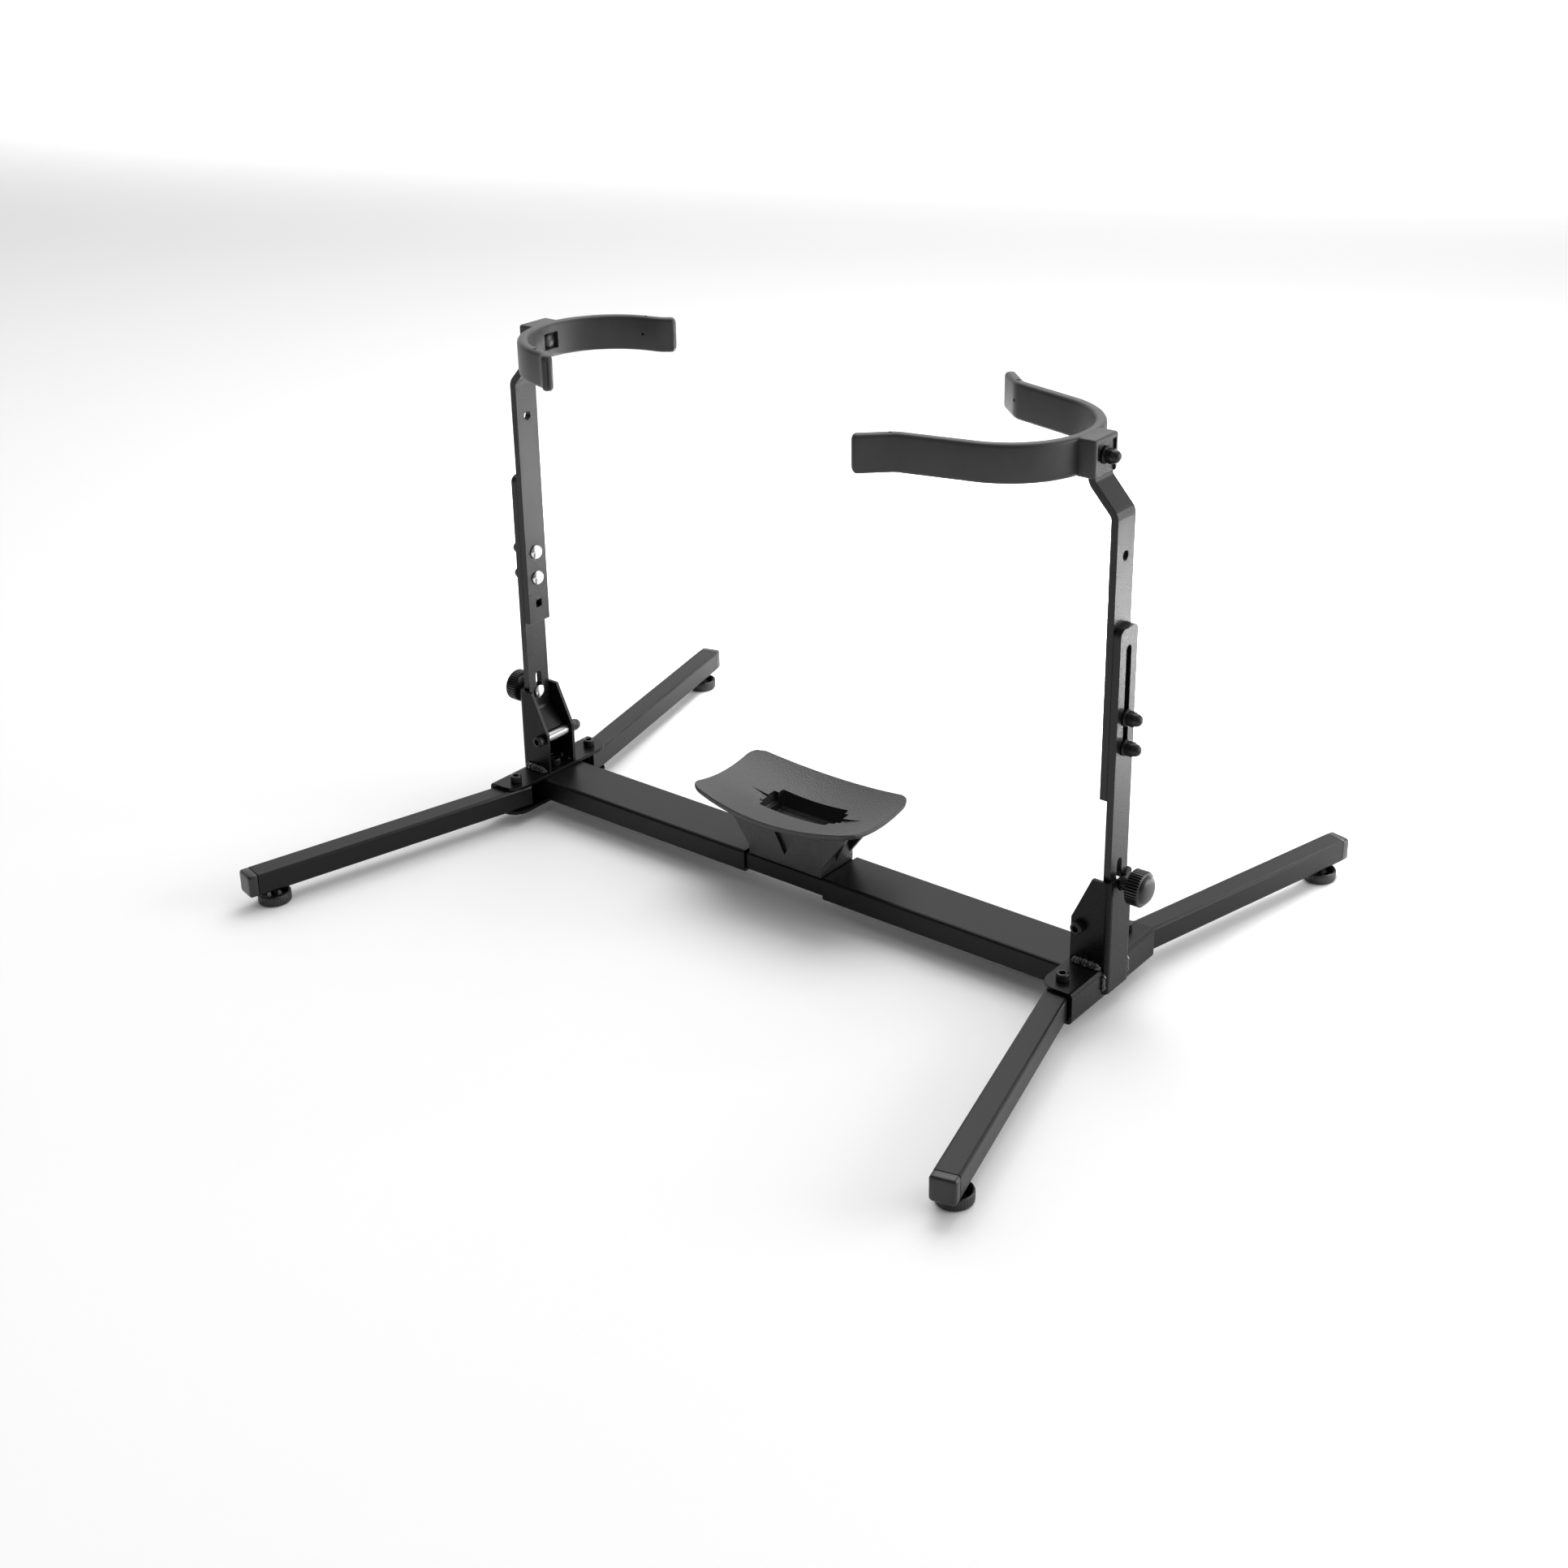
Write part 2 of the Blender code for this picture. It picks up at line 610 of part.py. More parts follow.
def upper_bar(name, look, mirror):
    mid = UPPER_FACE - BAR / 2
    path = [(mid, UPPER_LOW), (mid, UPPER_BEND_LOW), (mid - UPPER_STEP, UPPER_BEND_HIGH)]
    path.append((mid - UPPER_STEP, UPPER_TOP))
    mesh = plate(name, strip(bent(path, 0.008, 4), BAR), -BAR_HALF_WIDTH, BAR_HALF_WIDTH, "XZ")
    bar = part(name, mesh, look, (mid, 0, UPPER_LOW), mirror)
    half = BAR_HALF_WIDTH + 0.0005
    tip = BAR_HALF_WIDTH - 0.0025
    face = [(-half, 0.16), (half, 0.16), (half, 0.4425), (BAR_HALF_WIDTH, 0.4435), (tip, UPPER_TOP)]
    face += [(-tip, UPPER_TOP), (-BAR_HALF_WIDTH, 0.4435), (-half, 0.4425)]
    holes = [box_outline(SQUARE, SQUARE, (0, z)) for z in (*HEIGHT_BOLTS, SPARE_HOLE)]
    holes.append(arc((0, UPPER_HOLE), 0.0038, 0, 2 * pi * 9 / 10, 9))
    holes.append(arc((0, YOKE_Z), HOLE, 0, 2 * pi * 9 / 10, 9))
    join(bar, plate(name, face, 0.25, 0.32, "YZ", holes), "INTERSECT")
    return bar


def yoke_line(offset, reach, flare):
    """A line at this distance outside the yoke's inner face, from one tip round to the other."""
    radius = YOKE_RADIUS + offset
    centre_x = YOKE_BACK - YOKE_RADIUS
    swing = pi / 2 - YOKE_OPENING
    ring = [(centre_x + radius * cos(a * swing / 12), radius * sin(a * swing / 12)) for a in range(-12, 13)]
    bend_x = YOKE_BACK - reach
    side = YOKE_RADIUS * sin(swing) + (reach - YOKE_RADIUS * (1 - cos(swing))) * tan(YOKE_OPENING)
    normal = Vector((sin(YOKE_OPENING), cos(YOKE_OPENING)))
    turn = atan2(flare[1] - side, flare[0] - reach)
    middle_turn = (YOKE_OPENING + turn) / 2
    grow = offset / cos((turn - YOKE_OPENING) / 2)
    bend = (bend_x + grow * sin(middle_turn), side + grow * cos(middle_turn))
    tip = (YOKE_BACK - flare[0] + offset * sin(turn), flare[1] + offset * cos(turn))
    upper = [Vector(bend), Vector(tip)]
    lower = [Vector((p.x, -p.y)) for p in upper[::-1]]
    return lower + [Vector(p) for p in ring] + upper


def yoke(name, look, mirror, reach, flare):
    """Rubber C with a block on its back that drops over the end of the upper bar."""
    low = YOKE_Z - YOKE_HEIGHT / 2
    high = YOKE_Z + YOKE_HEIGHT / 2
    line = yoke_line(YOKE_WALL / 2, reach, flare)
    made = part(name, plate(name, strip(line, YOKE_WALL), low, high), look, (YOKE_BACK, 0, YOKE_Z), mirror)
    soften(made, 0.0016, 1)
    join(made, block(name, (YOKE_BACK + 0.0045, -0.0160, low), (BLOCK_FACE, 0.0160, high - 0.0006)))
    socket = BAR_HALF_WIDTH + GAP
    bar_face = UPPER_FACE - BAR - UPPER_STEP - GAP
    cut(made, block(name, (bar_face, -socket, low - 0.01), (0.29, socket, UPPER_TOP + GAP)))
    window = Vector((0, 0.0080, 0.0070))
    near = Vector((YOKE_BACK - 0.01, 0, YOKE_Z))
    cut(made, block(name, near - window, near + window + Vector((0.0145, 0, 0))))
    cut(made, rod(name, HOLE, 0.24, 0.30, (0, 0, YOKE_Z), "X"))
    centre = (YOKE_BACK - YOKE_RADIUS, 0)
    inner = YOKE_RADIUS + 0.0040 - GAP
    outer = YOKE_RADIUS + 0.0040 + CORE_WALL + GAP
    swing = radians(60.5)
    cavity = arc(centre, inner, -swing, swing, 12) + arc(centre, outer, swing, -swing, 12)
    half = CORE_HEIGHT / 2 + GAP
    cut(made, plate(name, cavity, YOKE_Z - half, YOKE_Z + half))
    for end in (-1, 1):
        spot = (YOKE_BACK - flare[0] + 0.023, end * (flare[1] - 0.012), 0)
        if reach < 0.08:
            spot = (YOKE_BACK - 0.0500, end * 0.0668, 0)
        cut(made, rod(name, 0.0016, high - 0.005, high + 0.01, spot, sides=8))
    return made


def yoke_core(name, look, mirror):
    centre = (YOKE_BACK - YOKE_RADIUS, 0)
    inner = YOKE_RADIUS + 0.0040
    swing = radians(60)
    outline = arc(centre, inner, -swing, swing, 12) + arc(centre, inner + CORE_WALL, swing, -swing, 12)
    mesh = plate(name, outline, YOKE_Z - CORE_HEIGHT / 2, YOKE_Z + CORE_HEIGHT / 2)
    core = part(name, mesh, look, (YOKE_BACK, 0, YOKE_Z), mirror)
    cut(core, rod(name, HOLE, 0.24, 0.30, (0, 0, YOKE_Z), "X"))
    return core


def clamp_knob(name, look, mirror):
    centre = (0, 0, CLAMP_Z)
    near = BRACKET_OUT + GAP
    profile = [
        (0, 0.3320), (0.0060, 0.3317), (0.0105, 0.3304), (0.0118, 0.3282), (0.0136, 0.3278), (0.0140, 0.3270),
        (0.0140, 0.3172), (0.0132, 0.3162), (0.0055, 0.3160), (0.0055, near), (0, near),
    ]
    mesh = placed(turned(name, profile, sides=22), centre, "X")
    knob = part(name, mesh, look, (0.3200, 0, CLAMP_Z), mirror)
    cut(knob, rod(name, HOLE, near - 0.005, 0.3260, centre, "X", sides=10))
    return knob


def upright(side, looks, mirror, reach, flare):
    pivot_seat = EAR_OUT + GAP
    front = (POST_PIVOT.x, -pivot_seat, POST_PIVOT.z)
    rear = (POST_PIVOT.x, pivot_seat, POST_PIVOT.z)
    cap_screw(f"{side}_post_pivot_screw", 2 * pivot_seat + 0.0070, looks["screw"], front, "Y", True,
              mirror=mirror)
    name = f"{side}_post_pivot_nut"
    dome_nut(name, looks["screw"], rear, "Y", False, (0, 0, 0), mirror)
    name = f"{side}_post_pivot_tube"
    reach_y = EAR_IN - GAP
    mesh = rod(name, POST_TUBE, -reach_y, reach_y, POST_PIVOT, "Y")
    tube = part(name, mesh, looks["zinc"], POST_PIVOT, mirror)
    cut(tube, rod(name, HOLE, -0.02, 0.02, POST_PIVOT, "Y"))
    lower_post(f"{side}_lower_post", looks["bar"], mirror)
    upper_bar(f"{side}_upper_bar", looks["bar"], mirror)

    head_seat = UPPER_FACE - BAR - GAP
    for z, level in zip(HEIGHT_BOLTS, ("high", "low")):
        carriage_bolt(f"{side}_height_bolt_{level}", POST_FACE - head_seat + 0.0075, 0.0055, looks["zinc"],
                      (head_seat, 0, z), True, (head_seat, 0, z), mirror)
        place = (POST_FACE + GAP, 0, z)
        dome_nut(f"{side}_height_nut_{level}", looks["screw"], place, "X", False, place, mirror)

    clamp_seat = POST_FACE - BAR - GAP
    place = (clamp_seat, 0, CLAMP_Z)
    carriage_bolt(f"{side}_clamp_bolt", 0.3069 - clamp_seat, 0, looks["zinc"], place, True, place, mirror)
    clamp_knob(f"{side}_clamp_knob", looks["plastic"], mirror)

    yoke(f"{side}_yoke", looks["rubber"], mirror, reach, flare)
    yoke_core(f"{side}_yoke_core", looks["steel"], mirror)
    core_face = YOKE_BACK + 0.0040 - 0.0009
    place = (core_face, 0, YOKE_Z)
    bar_back = UPPER_FACE - UPPER_STEP
    reach_x = bar_back - core_face + 0.0070
    carriage_bolt(f"{side}_yoke_bolt", reach_x, 0, looks["screw"], place, True, place, mirror)
    place = (bar_back + GAP, 0, YOKE_Z)
    dome_nut(f"{side}_yoke_nut", looks["screw"], place, "X", False, place, mirror, 0.0125)


def build():
    scene = bpy.context.scene
    for old in list(bpy.data.objects):
        bpy.data.objects.remove(old)
    scene.unit_settings.system = "METRIC"
    scene.unit_settings.scale_length = 1.0
    scene.collection.children.link(PARTS)
    scene.collection.children.link(CUTTERS)
    CUTTERS.hide_render = True

    looks = {
        "tube": material("black_powder_coat_tube", (0.018, 0.018, 0.019), 0.42, 0.0),
        "plate": material("black_powder_coat_plate", (0.020, 0.020, 0.021), 0.40, 0.0),
        "bar": material("black_powder_coat_bar", (0.019, 0.019, 0.020), 0.38, 0.0),
        "screw": material("black_oxide_screw", (0.030, 0.030, 0.032), 0.35, 0.9),
        "zinc": material("bright_zinc", (0.62, 0.62, 0.63), 0.30, 1.0),
        "steel": material("bare_spring_steel", (0.35, 0.35, 0.36), 0.45, 1.0),
        "plastic": material("black_moulded_plastic", (0.022, 0.022, 0.023), 0.55, 0.0),
        "rubber": material("dark_grey_rubber", (0.040, 0.040, 0.043), 0.65, 0.0),
        "saddle": material("black_textured_plastic", (0.024, 0.024, 0.025), 0.72, 0.0),
    }
    centre_tube(looks["tube"])
    saddle(looks["saddle"])
    yokes = {"left": (0.064, (0.074, 0.074)), "right": (0.106, (0.130, 0.099))}
    for side, sign in (("left", -1), ("right", 1)):
        mirror = (sign, 1)
        beam_tube(f"{side}_beam_tube", looks["tube"], mirror)
        end_channel(f"{side}_end_channel", looks["plate"], mirror)
        bracket(f"{side}_bracket", looks["plate"], mirror)
        seat = CHANNEL_HIGH + GAP
        cap_screw(f"{side}_beam_screw", seat - 0.0080, looks["screw"], (BEAM_SCREW_X, 0, seat), mirror=mirror)
        upright(side, looks, mirror, *yokes[side])
        for end, depth in (("front", 1), ("back", -1)):
            leg(f"{end}_{side}", looks, (sign, depth))


build()
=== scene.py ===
"""Studio scene of a folding saxophone stand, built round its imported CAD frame."""
import json
from math import atan2, cos, pi, radians, sin, tan

import bmesh
import bpy
from mathutils import Matrix, Vector


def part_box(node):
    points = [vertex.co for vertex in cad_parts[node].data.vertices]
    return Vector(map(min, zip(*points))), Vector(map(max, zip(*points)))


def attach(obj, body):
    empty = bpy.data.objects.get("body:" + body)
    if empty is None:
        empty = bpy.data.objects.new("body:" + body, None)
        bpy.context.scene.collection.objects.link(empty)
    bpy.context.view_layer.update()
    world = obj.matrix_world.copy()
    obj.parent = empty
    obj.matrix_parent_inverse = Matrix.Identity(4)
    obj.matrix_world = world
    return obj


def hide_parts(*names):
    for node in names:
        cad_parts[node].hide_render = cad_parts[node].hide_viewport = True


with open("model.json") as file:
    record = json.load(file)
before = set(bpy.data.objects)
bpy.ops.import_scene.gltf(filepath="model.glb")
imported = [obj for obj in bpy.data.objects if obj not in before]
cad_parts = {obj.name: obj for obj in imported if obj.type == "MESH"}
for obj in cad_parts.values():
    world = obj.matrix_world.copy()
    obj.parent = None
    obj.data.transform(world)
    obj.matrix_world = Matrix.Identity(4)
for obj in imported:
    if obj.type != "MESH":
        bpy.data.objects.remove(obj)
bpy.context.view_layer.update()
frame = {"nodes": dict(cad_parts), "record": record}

SIDES = {"left": -1, "right": 1}
BODY = {node: name for name, nodes in frame["record"]["behaviour"]["bodies"].items() for node in nodes}


# materials

ROUGH_SPREAD = 0.08
MIX_FACTOR, MIX_DARK, MIX_LIGHT, MIX_COLOUR = 0, 6, 7, 2


def speckle(tree, scale, detail=4.0):
    """Noise that stays with the piece."""
    place = tree.nodes.new("ShaderNodeTexCoord")
    noise = tree.nodes.new("ShaderNodeTexNoise")
    noise.inputs["Scale"].default_value = scale
    noise.inputs["Detail"].default_value = detail
    tree.links.new(place.outputs["Object"], noise.inputs["Vector"])
    return noise


def surface(name, colour, rough, metal=0.0, vary=0.25, grain=900.0, bump=0.1, depth=0.0001,
            cloud=14.0, specular=0.5):
    """A finish with cloudy colour, uneven gloss and a fine raised grain; cloud and grain are noise scales."""
    made = bpy.data.materials.new(name)
    made.use_nodes = True
    tree = made.node_tree
    shader = tree.nodes["Principled BSDF"]
    shader.inputs["Metallic"].default_value = metal
    shader.inputs["Specular IOR Level"].default_value = specular
    clouds = speckle(tree, cloud)
    mix = tree.nodes.new("ShaderNodeMix")
    mix.data_type = "RGBA"
    dark = [c * (1 - vary) for c in colour]
    light = [min(1.0, c * (1 + vary)) for c in colour]
    mix.inputs[MIX_DARK].default_value = (*dark, 1)
    mix.inputs[MIX_LIGHT].default_value = (*light, 1)
    tree.links.new(clouds.outputs["Fac"], mix.inputs[MIX_FACTOR])
    tree.links.new(mix.outputs[MIX_COLOUR], shader.inputs["Base Color"])
    fine = speckle(tree, grain, 2.0)
    spread = tree.nodes.new("ShaderNodeMapRange")
    spread.inputs["To Min"].default_value = rough - ROUGH_SPREAD
    spread.inputs["To Max"].default_value = rough + ROUGH_SPREAD
    tree.links.new(fine.outputs["Fac"], spread.inputs["Value"])
    tree.links.new(spread.outputs["Result"], shader.inputs["Roughness"])
    raised = tree.nodes.new("ShaderNodeBump")
    raised.inputs["Strength"].default_value = bump
    raised.inputs["Distance"].default_value = depth
    tree.links.new(fine.outputs["Fac"], raised.inputs["Height"])
    tree.links.new(raised.outputs["Normal"], shader.inputs["Normal"])
    return made


LOOKS = {
    "tube": surface("powder_coat_tube", (0.0045, 0.0045, 0.0047), 0.34, grain=1500, bump=0.22, depth=0.0002,
                    specular=0.21),
    "plate": surface("powder_coat_plate", (0.0040, 0.0040, 0.0042), 0.28, grain=1500, bump=0.22, depth=0.0002,
                     specular=0.16),
    "bar": surface("powder_coat_bar", (0.0050, 0.0050, 0.0052), 0.28, grain=1500, bump=0.16, depth=0.0002,
                   specular=0.36),
    "screw": surface("black_oxide", (0.016, 0.016, 0.017), 0.32, 0.5, grain=2500, bump=0.1),
    "zinc": surface("bright_zinc", (0.80, 0.80, 0.81), 0.20, 1.0, vary=0.08, grain=1800, bump=0.08),
    "plated": surface("dull_zinc", (0.30, 0.30, 0.31), 0.34, 1.0, vary=0.15, grain=1500, bump=0.15),
    "steel": surface("dark_steel", (0.05, 0.05, 0.052), 0.42, 1.0, vary=0.1, grain=1500, bump=0.1),
    "plastic": surface("moulded_plastic", (0.0055, 0.0055, 0.0057), 0.34, grain=2200, bump=0.35, depth=0.0002,
                       specular=0.52),
    "rubber": surface("satin_rubber", (0.029, 0.029, 0.0303), 0.40, vary=0.28, grain=2600, bump=0.4,
                      depth=0.00025, cloud=34.0, specular=0.42),
    "saddle": surface("grained_plastic", (0.0160, 0.0160, 0.0165), 0.44, vary=0.18, grain=620, bump=0.8,
                      depth=0.0005, cloud=26.0, specular=0.62),
    "weld": surface("painted_weld", (0.007, 0.007, 0.0072), 0.13, vary=0.3, grain=420, bump=0.6, depth=0.0006,
                    specular=0.8),
}


# mesh tools

SAME_PLACE = 1e-6


def settle(name, bm, look, body, nodes=(), angle=32):
    """Turns a bmesh into a shown piece that rides on a body and stands for CAD nodes."""
    bmesh.ops.remove_doubles(bm, verts=bm.verts, dist=SAME_PLACE)
    bmesh.ops.recalc_face_normals(bm, faces=bm.faces)
    mesh = bpy.data.meshes.new(name)
    bm.to_mesh(mesh)
    bm.free()
    mesh.shade_smooth()
    mesh.set_sharp_from_angle(angle=radians(angle))
    mesh.materials.append(LOOKS[look])
    made = bpy.data.objects.new(name, mesh)
    bpy.context.scene.collection.objects.link(made)
    if nodes:
        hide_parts(*nodes)
    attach(made, body)


def outline_radius(kind, radius, angle, depth):
    """Distance from the axis to an outline at an angle."""
    if kind == "hex":
        return radius / cos((angle + pi / 6) % (pi / 3) - pi / 6)
    if kind == "square":
        return radius / cos((angle + pi / 4) % (pi / 2) - pi / 4)
    if kind == "ribs":
        return radius - depth * max(0.0, cos(angle)) ** 0.5
    return radius


def lathe(profile, centre, axis, count=48, ribs=24, depth=0.0004):
    """A closed body of stacked outlines: (height, radius) or (height, radius, kind) along an axis."""
    turn = Vector((0, 0, 1)).rotation_difference(Vector(axis)).to_matrix().to_4x4()
    place = Matrix.Translation(centre) @ turn
    bm = bmesh.new()
    rings = []
    for step in profile:
        height, radius = step[0], step[1]
        kind = step[2] if len(step) > 2 else "round"
        if radius == 0:
            rings.append([bm.verts.new(place @ Vector((0, 0, height)))])
            continue
        ring = []
        for i in range(count):
            angle = 2 * pi * i / count
            r = outline_radius(kind, radius, angle * (ribs if kind == "ribs" else 1), depth)
            ring.append(bm.verts.new(place @ Vector((r * cos(angle), r * sin(angle), height))))
        rings.append(ring)
    for here, there in zip(rings, rings[1:]):
        for i in range(count):
            j = (i + 1) % count
            if len(here) == 1:
                bm.faces.new((here[0], there[i], there[j]))
            elif len(there) == 1:
                bm.faces.new((here[i], there[0], here[j]))
            else:
                bm.faces.new((here[i], there[i], there[j], here[j]))
    return bm


def box_bm(low, high, bevel=0.0, segments=3):
    """A box between two corners, with rounded edges if bevel is given."""
    low, high = Vector(low), Vector(high)
    bm = bmesh.new()
    bmesh.ops.create_cube(bm, size=1.0)
    bmesh.ops.scale(bm, vec=high - low, verts=bm.verts)
    bmesh.ops.translate(bm, vec=(high + low) / 2, verts=bm.verts)
    if bevel:
        bmesh.ops.bevel(bm, geom=list(bm.edges), offset=bevel, segments=segments, affect="EDGES", profile=0.5)
    return bm


def prism_bm(points, low, high):
    """An outline of (x, z) points made solid between two values of y."""
    bm = bmesh.new()
    ends = [[bm.verts.new((x, level, z)) for x, z in points] for level in (low, high)]
    bm.faces.new(ends[0])
    bm.faces.new(ends[1][::-1])
    for i in range(len(points)):
        j = (i + 1) % len(points)
        bm.faces.new((ends[0][i], ends[1][i], ends[1][j], ends[0][j]))
    bmesh.ops.recalc_face_normals(bm, faces=bm.faces)
    return bm


def combined(base, steps):
    """The base mesh after each (operation, bmesh) step, worked out exactly."""
    def loose(bm):
        bmesh.ops.recalc_face_normals(bm, faces=bm.faces)
        mesh = bpy.data.meshes.new("loose")
        bm.to_mesh(mesh)
        bm.free()
        thing = bpy.data.objects.new("loose", mesh)
        bpy.context.scene.collection.objects.link(thing)
        return thing

    body = loose(base)
    tools = []
    for operation, bm in steps:
        tool = loose(bm)
        tools.append(tool)
        boolean = body.modifiers.new("step", "BOOLEAN")
        boolean.operation = operation
        boolean.solver = "EXACT"
        boolean.object = tool
    bpy.context.view_layer.update()
    mesh = bpy.data.meshes.new_from_object(body.evaluated_get(bpy.context.evaluated_depsgraph_get()))
    result = bmesh.new()
    result.from_mesh(mesh)
    for thing in (body, *tools):
        bpy.data.objects.remove(thing)
    return result


# hardware: M6 screws, bolts and nuts, with their shank, head and dome sizes

SHANK = 0.0030
HEAD = 0.0050
HEAD_TALL = 0.0060
NUT_BORE = 0.0032
DOME_TALL = 0.0056
DOME_STEPS = 8
BOLT_DOME = 0.0065
BOLT_DOME_RISE = 0.0033


def cap_screw(node, axis):
    """Socket cap screw with a knurled head and a hex socket; axis points from the shank to the head."""
    low, high = (Vector(c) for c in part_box(node))
    axis = Vector(axis)
    middle = (low + high) / 2
    half = abs((high - low).dot(axis)) / 2
    top = middle + axis * half
    seat = top - axis * HEAD_TALL
    length = 2 * half - HEAD_TALL
    profile = [
        (-length, 0), (-length, 0.0025), (-length + 0.0006, SHANK), (0, SHANK), (0, 0.0047),
        (0.0003, HEAD), (0.0008, HEAD), (0.0009, HEAD, "ribs"), (0.0050, HEAD, "ribs"),
        (0.0051, 0.0049), (0.0057, 0.0046), (HEAD_TALL, 0.0041), (HEAD_TALL, 0.0031),
        (0.0057, 0.0025, "hex"), (0.0028, 0.0025, "hex"), (0.0022, 0),
    ]
    bm = lathe(profile, seat, axis, count=96, ribs=24, depth=0.00022)
    settle(f"{node}_detail", bm, "screw", BODY[node], [node])


def dome_nut(node, axis):
    """Domed nut with a collar, hex flats and a round cap; axis points out of the dome."""
    low, high = (Vector(c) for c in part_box(node))
    axis = Vector(axis)
    length = abs((high - low).dot(axis))
    seat = (low + high) / 2 - axis * length / 2
    flat = length - DOME_TALL
    profile = [
        (flat, 0), (flat, NUT_BORE), (0, NUT_BORE), (0, 0.0063), (0.0003, 0.0066), (0.0011, 0.0066),
        (0.0019, 0.0060), (0.0020, HEAD, "hex"), (flat - 0.0006, HEAD, "hex"), (flat, 0.0052),
        (flat + 0.0004, HEAD),
    ]
    for i in range(1, DOME_STEPS + 1):
        a = pi / 2 * i / DOME_STEPS
        profile.append((flat + 0.0004 + 0.0052 * sin(a), HEAD * cos(a) if i < DOME_STEPS else 0))
    settle(f"{node}_detail", lathe(profile, seat, axis), "screw", BODY[node], [node])


def carriage_bolt(node, axis, neck, look="zinc"):
    """Domed bolt with a square neck of the given length, or none; axis points from the shank to the dome."""
    low, high = (Vector(c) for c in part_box(node))
    axis = Vector(axis)
    full = abs((high - low).dot(axis))
    rise = BOLT_DOME_RISE
    rim = 0.0003
    seat = (low + high) / 2 + axis * (full / 2 - rise)
    length = full - rise
    profile = [(-length, 0), (-length, 0.0025), (-length + 0.0005, SHANK)]
    if neck:
        profile += [(-neck, SHANK), (-neck, SHANK, "square"), (0, SHANK, "square")]
    profile += [(0, 0.0062), (rim, BOLT_DOME)]
    for i in range(1, DOME_STEPS + 1):
        a = pi / 2 * i / DOME_STEPS
        profile.append((rim + (rise - rim) * sin(a), BOLT_DOME * cos(a) if i < DOME_STEPS else 0))
    settle(f"{node}_detail", lathe(profile, seat, axis, count=64), look, BODY[node], [node])


def hex_nut(node):
    """Upright nut with chamfered corners."""
    low, high = (Vector(c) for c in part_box(node))
    seat = Vector(((low.x + high.x) / 2, (low.y + high.y) / 2, low.z))
    tall = high.z - low.z
    profile = [
        (0, NUT_BORE), (0, 0.0048), (0.0006, HEAD, "hex"), (tall - 0.0006, HEAD, "hex"), (tall, 0.0048),
        (tall, NUT_BORE), (0, NUT_BORE),
    ]
    settle(f"{node}_detail", lathe(profile, seat, (0, 0, 1)), "zinc", BODY[node], [node])


def spacer(node):
    """Plain tube along y with soft ends."""
    low, high = (Vector(c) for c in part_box(node))
    seat = Vector(((low.x + high.x) / 2, low.y, (low.z + high.z) / 2))
    wide = high.y - low.y
    bore = 0.0034
    profile = [
        (0, bore), (0, 0.0045), (0.0003, 0.0048), (wide - 0.0003, 0.0048), (wide, 0.0045), (wide, bore),
        (0, bore),
    ]
    settle(f"{node}_detail", lathe(profile, seat, (0, 1, 0)), "plated", BODY[node], [node])


def knob(node, side):
    """Ribbed clamp knob with a plain domed cap."""
    low, high = (Vector(c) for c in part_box(node))
    near = low.x if side > 0 else high.x
    seat = Vector((near, 0, (low.z + high.z) / 2))
    profile = [
        (0.0180, 0), (0.0180, 0.0034), (-0.0027, 0.0034), (-0.0027, 0.0042), (0, 0.0042),
        (0, 0.0052), (0.0003, 0.0055), (0.0078, 0.0055),
        (0.0080, 0.0118), (0.0086, 0.0130), (0.0094, 0.0140, "ribs"), (0.0186, 0.0140, "ribs"),
        (0.0196, 0.0130), (0.0200, 0.0122), (0.0199, 0.0117), (0.0204, 0.0114), (0.0216, 0.0108),
        (0.0228, 0.0092), (0.0236, 0.0066), (0.0240, 0.0034), (0.0241, 0),
    ]
    bm = lathe(profile, seat, (side, 0, 0), count=304, ribs=38, depth=0.0016)
    settle(f"{node}_detail", bm, "plastic", BODY[node], [node], angle=30)


def foot(node):
    """Levelling foot: a ribbed pad on a plain stud with a hex."""
    low, high = (Vector(c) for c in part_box(node))
    seat = Vector(((low.x + high.x) / 2, (low.y + high.y) / 2, low.z))
    profile = [
        (0.0275, 0), (0.0275, 0.0024), (0.0270, 0.0030), (0.0062, 0.0030), (0.0060, 0.0058, "hex"),
        (0.0032, 0.0058, "hex"), (0.0028, 0.0108), (0.0080, 0.0116), (0.0088, 0.0120), (0.0090, 0.0126),
        (0.0088, 0.0134), (0.0082, 0.0139, "ribs"), (0.0026, 0.0139, "ribs"), (0.0012, 0.0138),
        (0.0003, 0.0132), (0, 0.0125), (0, 0),
    ]
    bm = lathe(profile, seat, (0, 0, 1), count=144, ribs=36, depth=0.0004)
    settle(f"{node}_detail", bm, "plastic", BODY[node], [node], angle=40)


CORNERS = ((1, 1), (-1, 1), (-1, -1), (1, -1))


# yokes

# (how far in from the back the straight arm ends, (how far in the tip is, how far to the side it is))
YOKE_SIZES = {"left": (0.064, (0.074, 0.074)), "right": (0.106, (0.130, 0.099))}
YOKE_BACK = 0.2585
YOKE_RADIUS = 0.064
YOKE_WALL = 0.009
YOKE_OPENING = radians(14)
YOKE_HALF_TALL = 0.01475
ARC_STEPS = 36
BEND = 0.004
TIP_ROUND = 0.0038
PIN_HOLE_FROM_TIP = 0.027


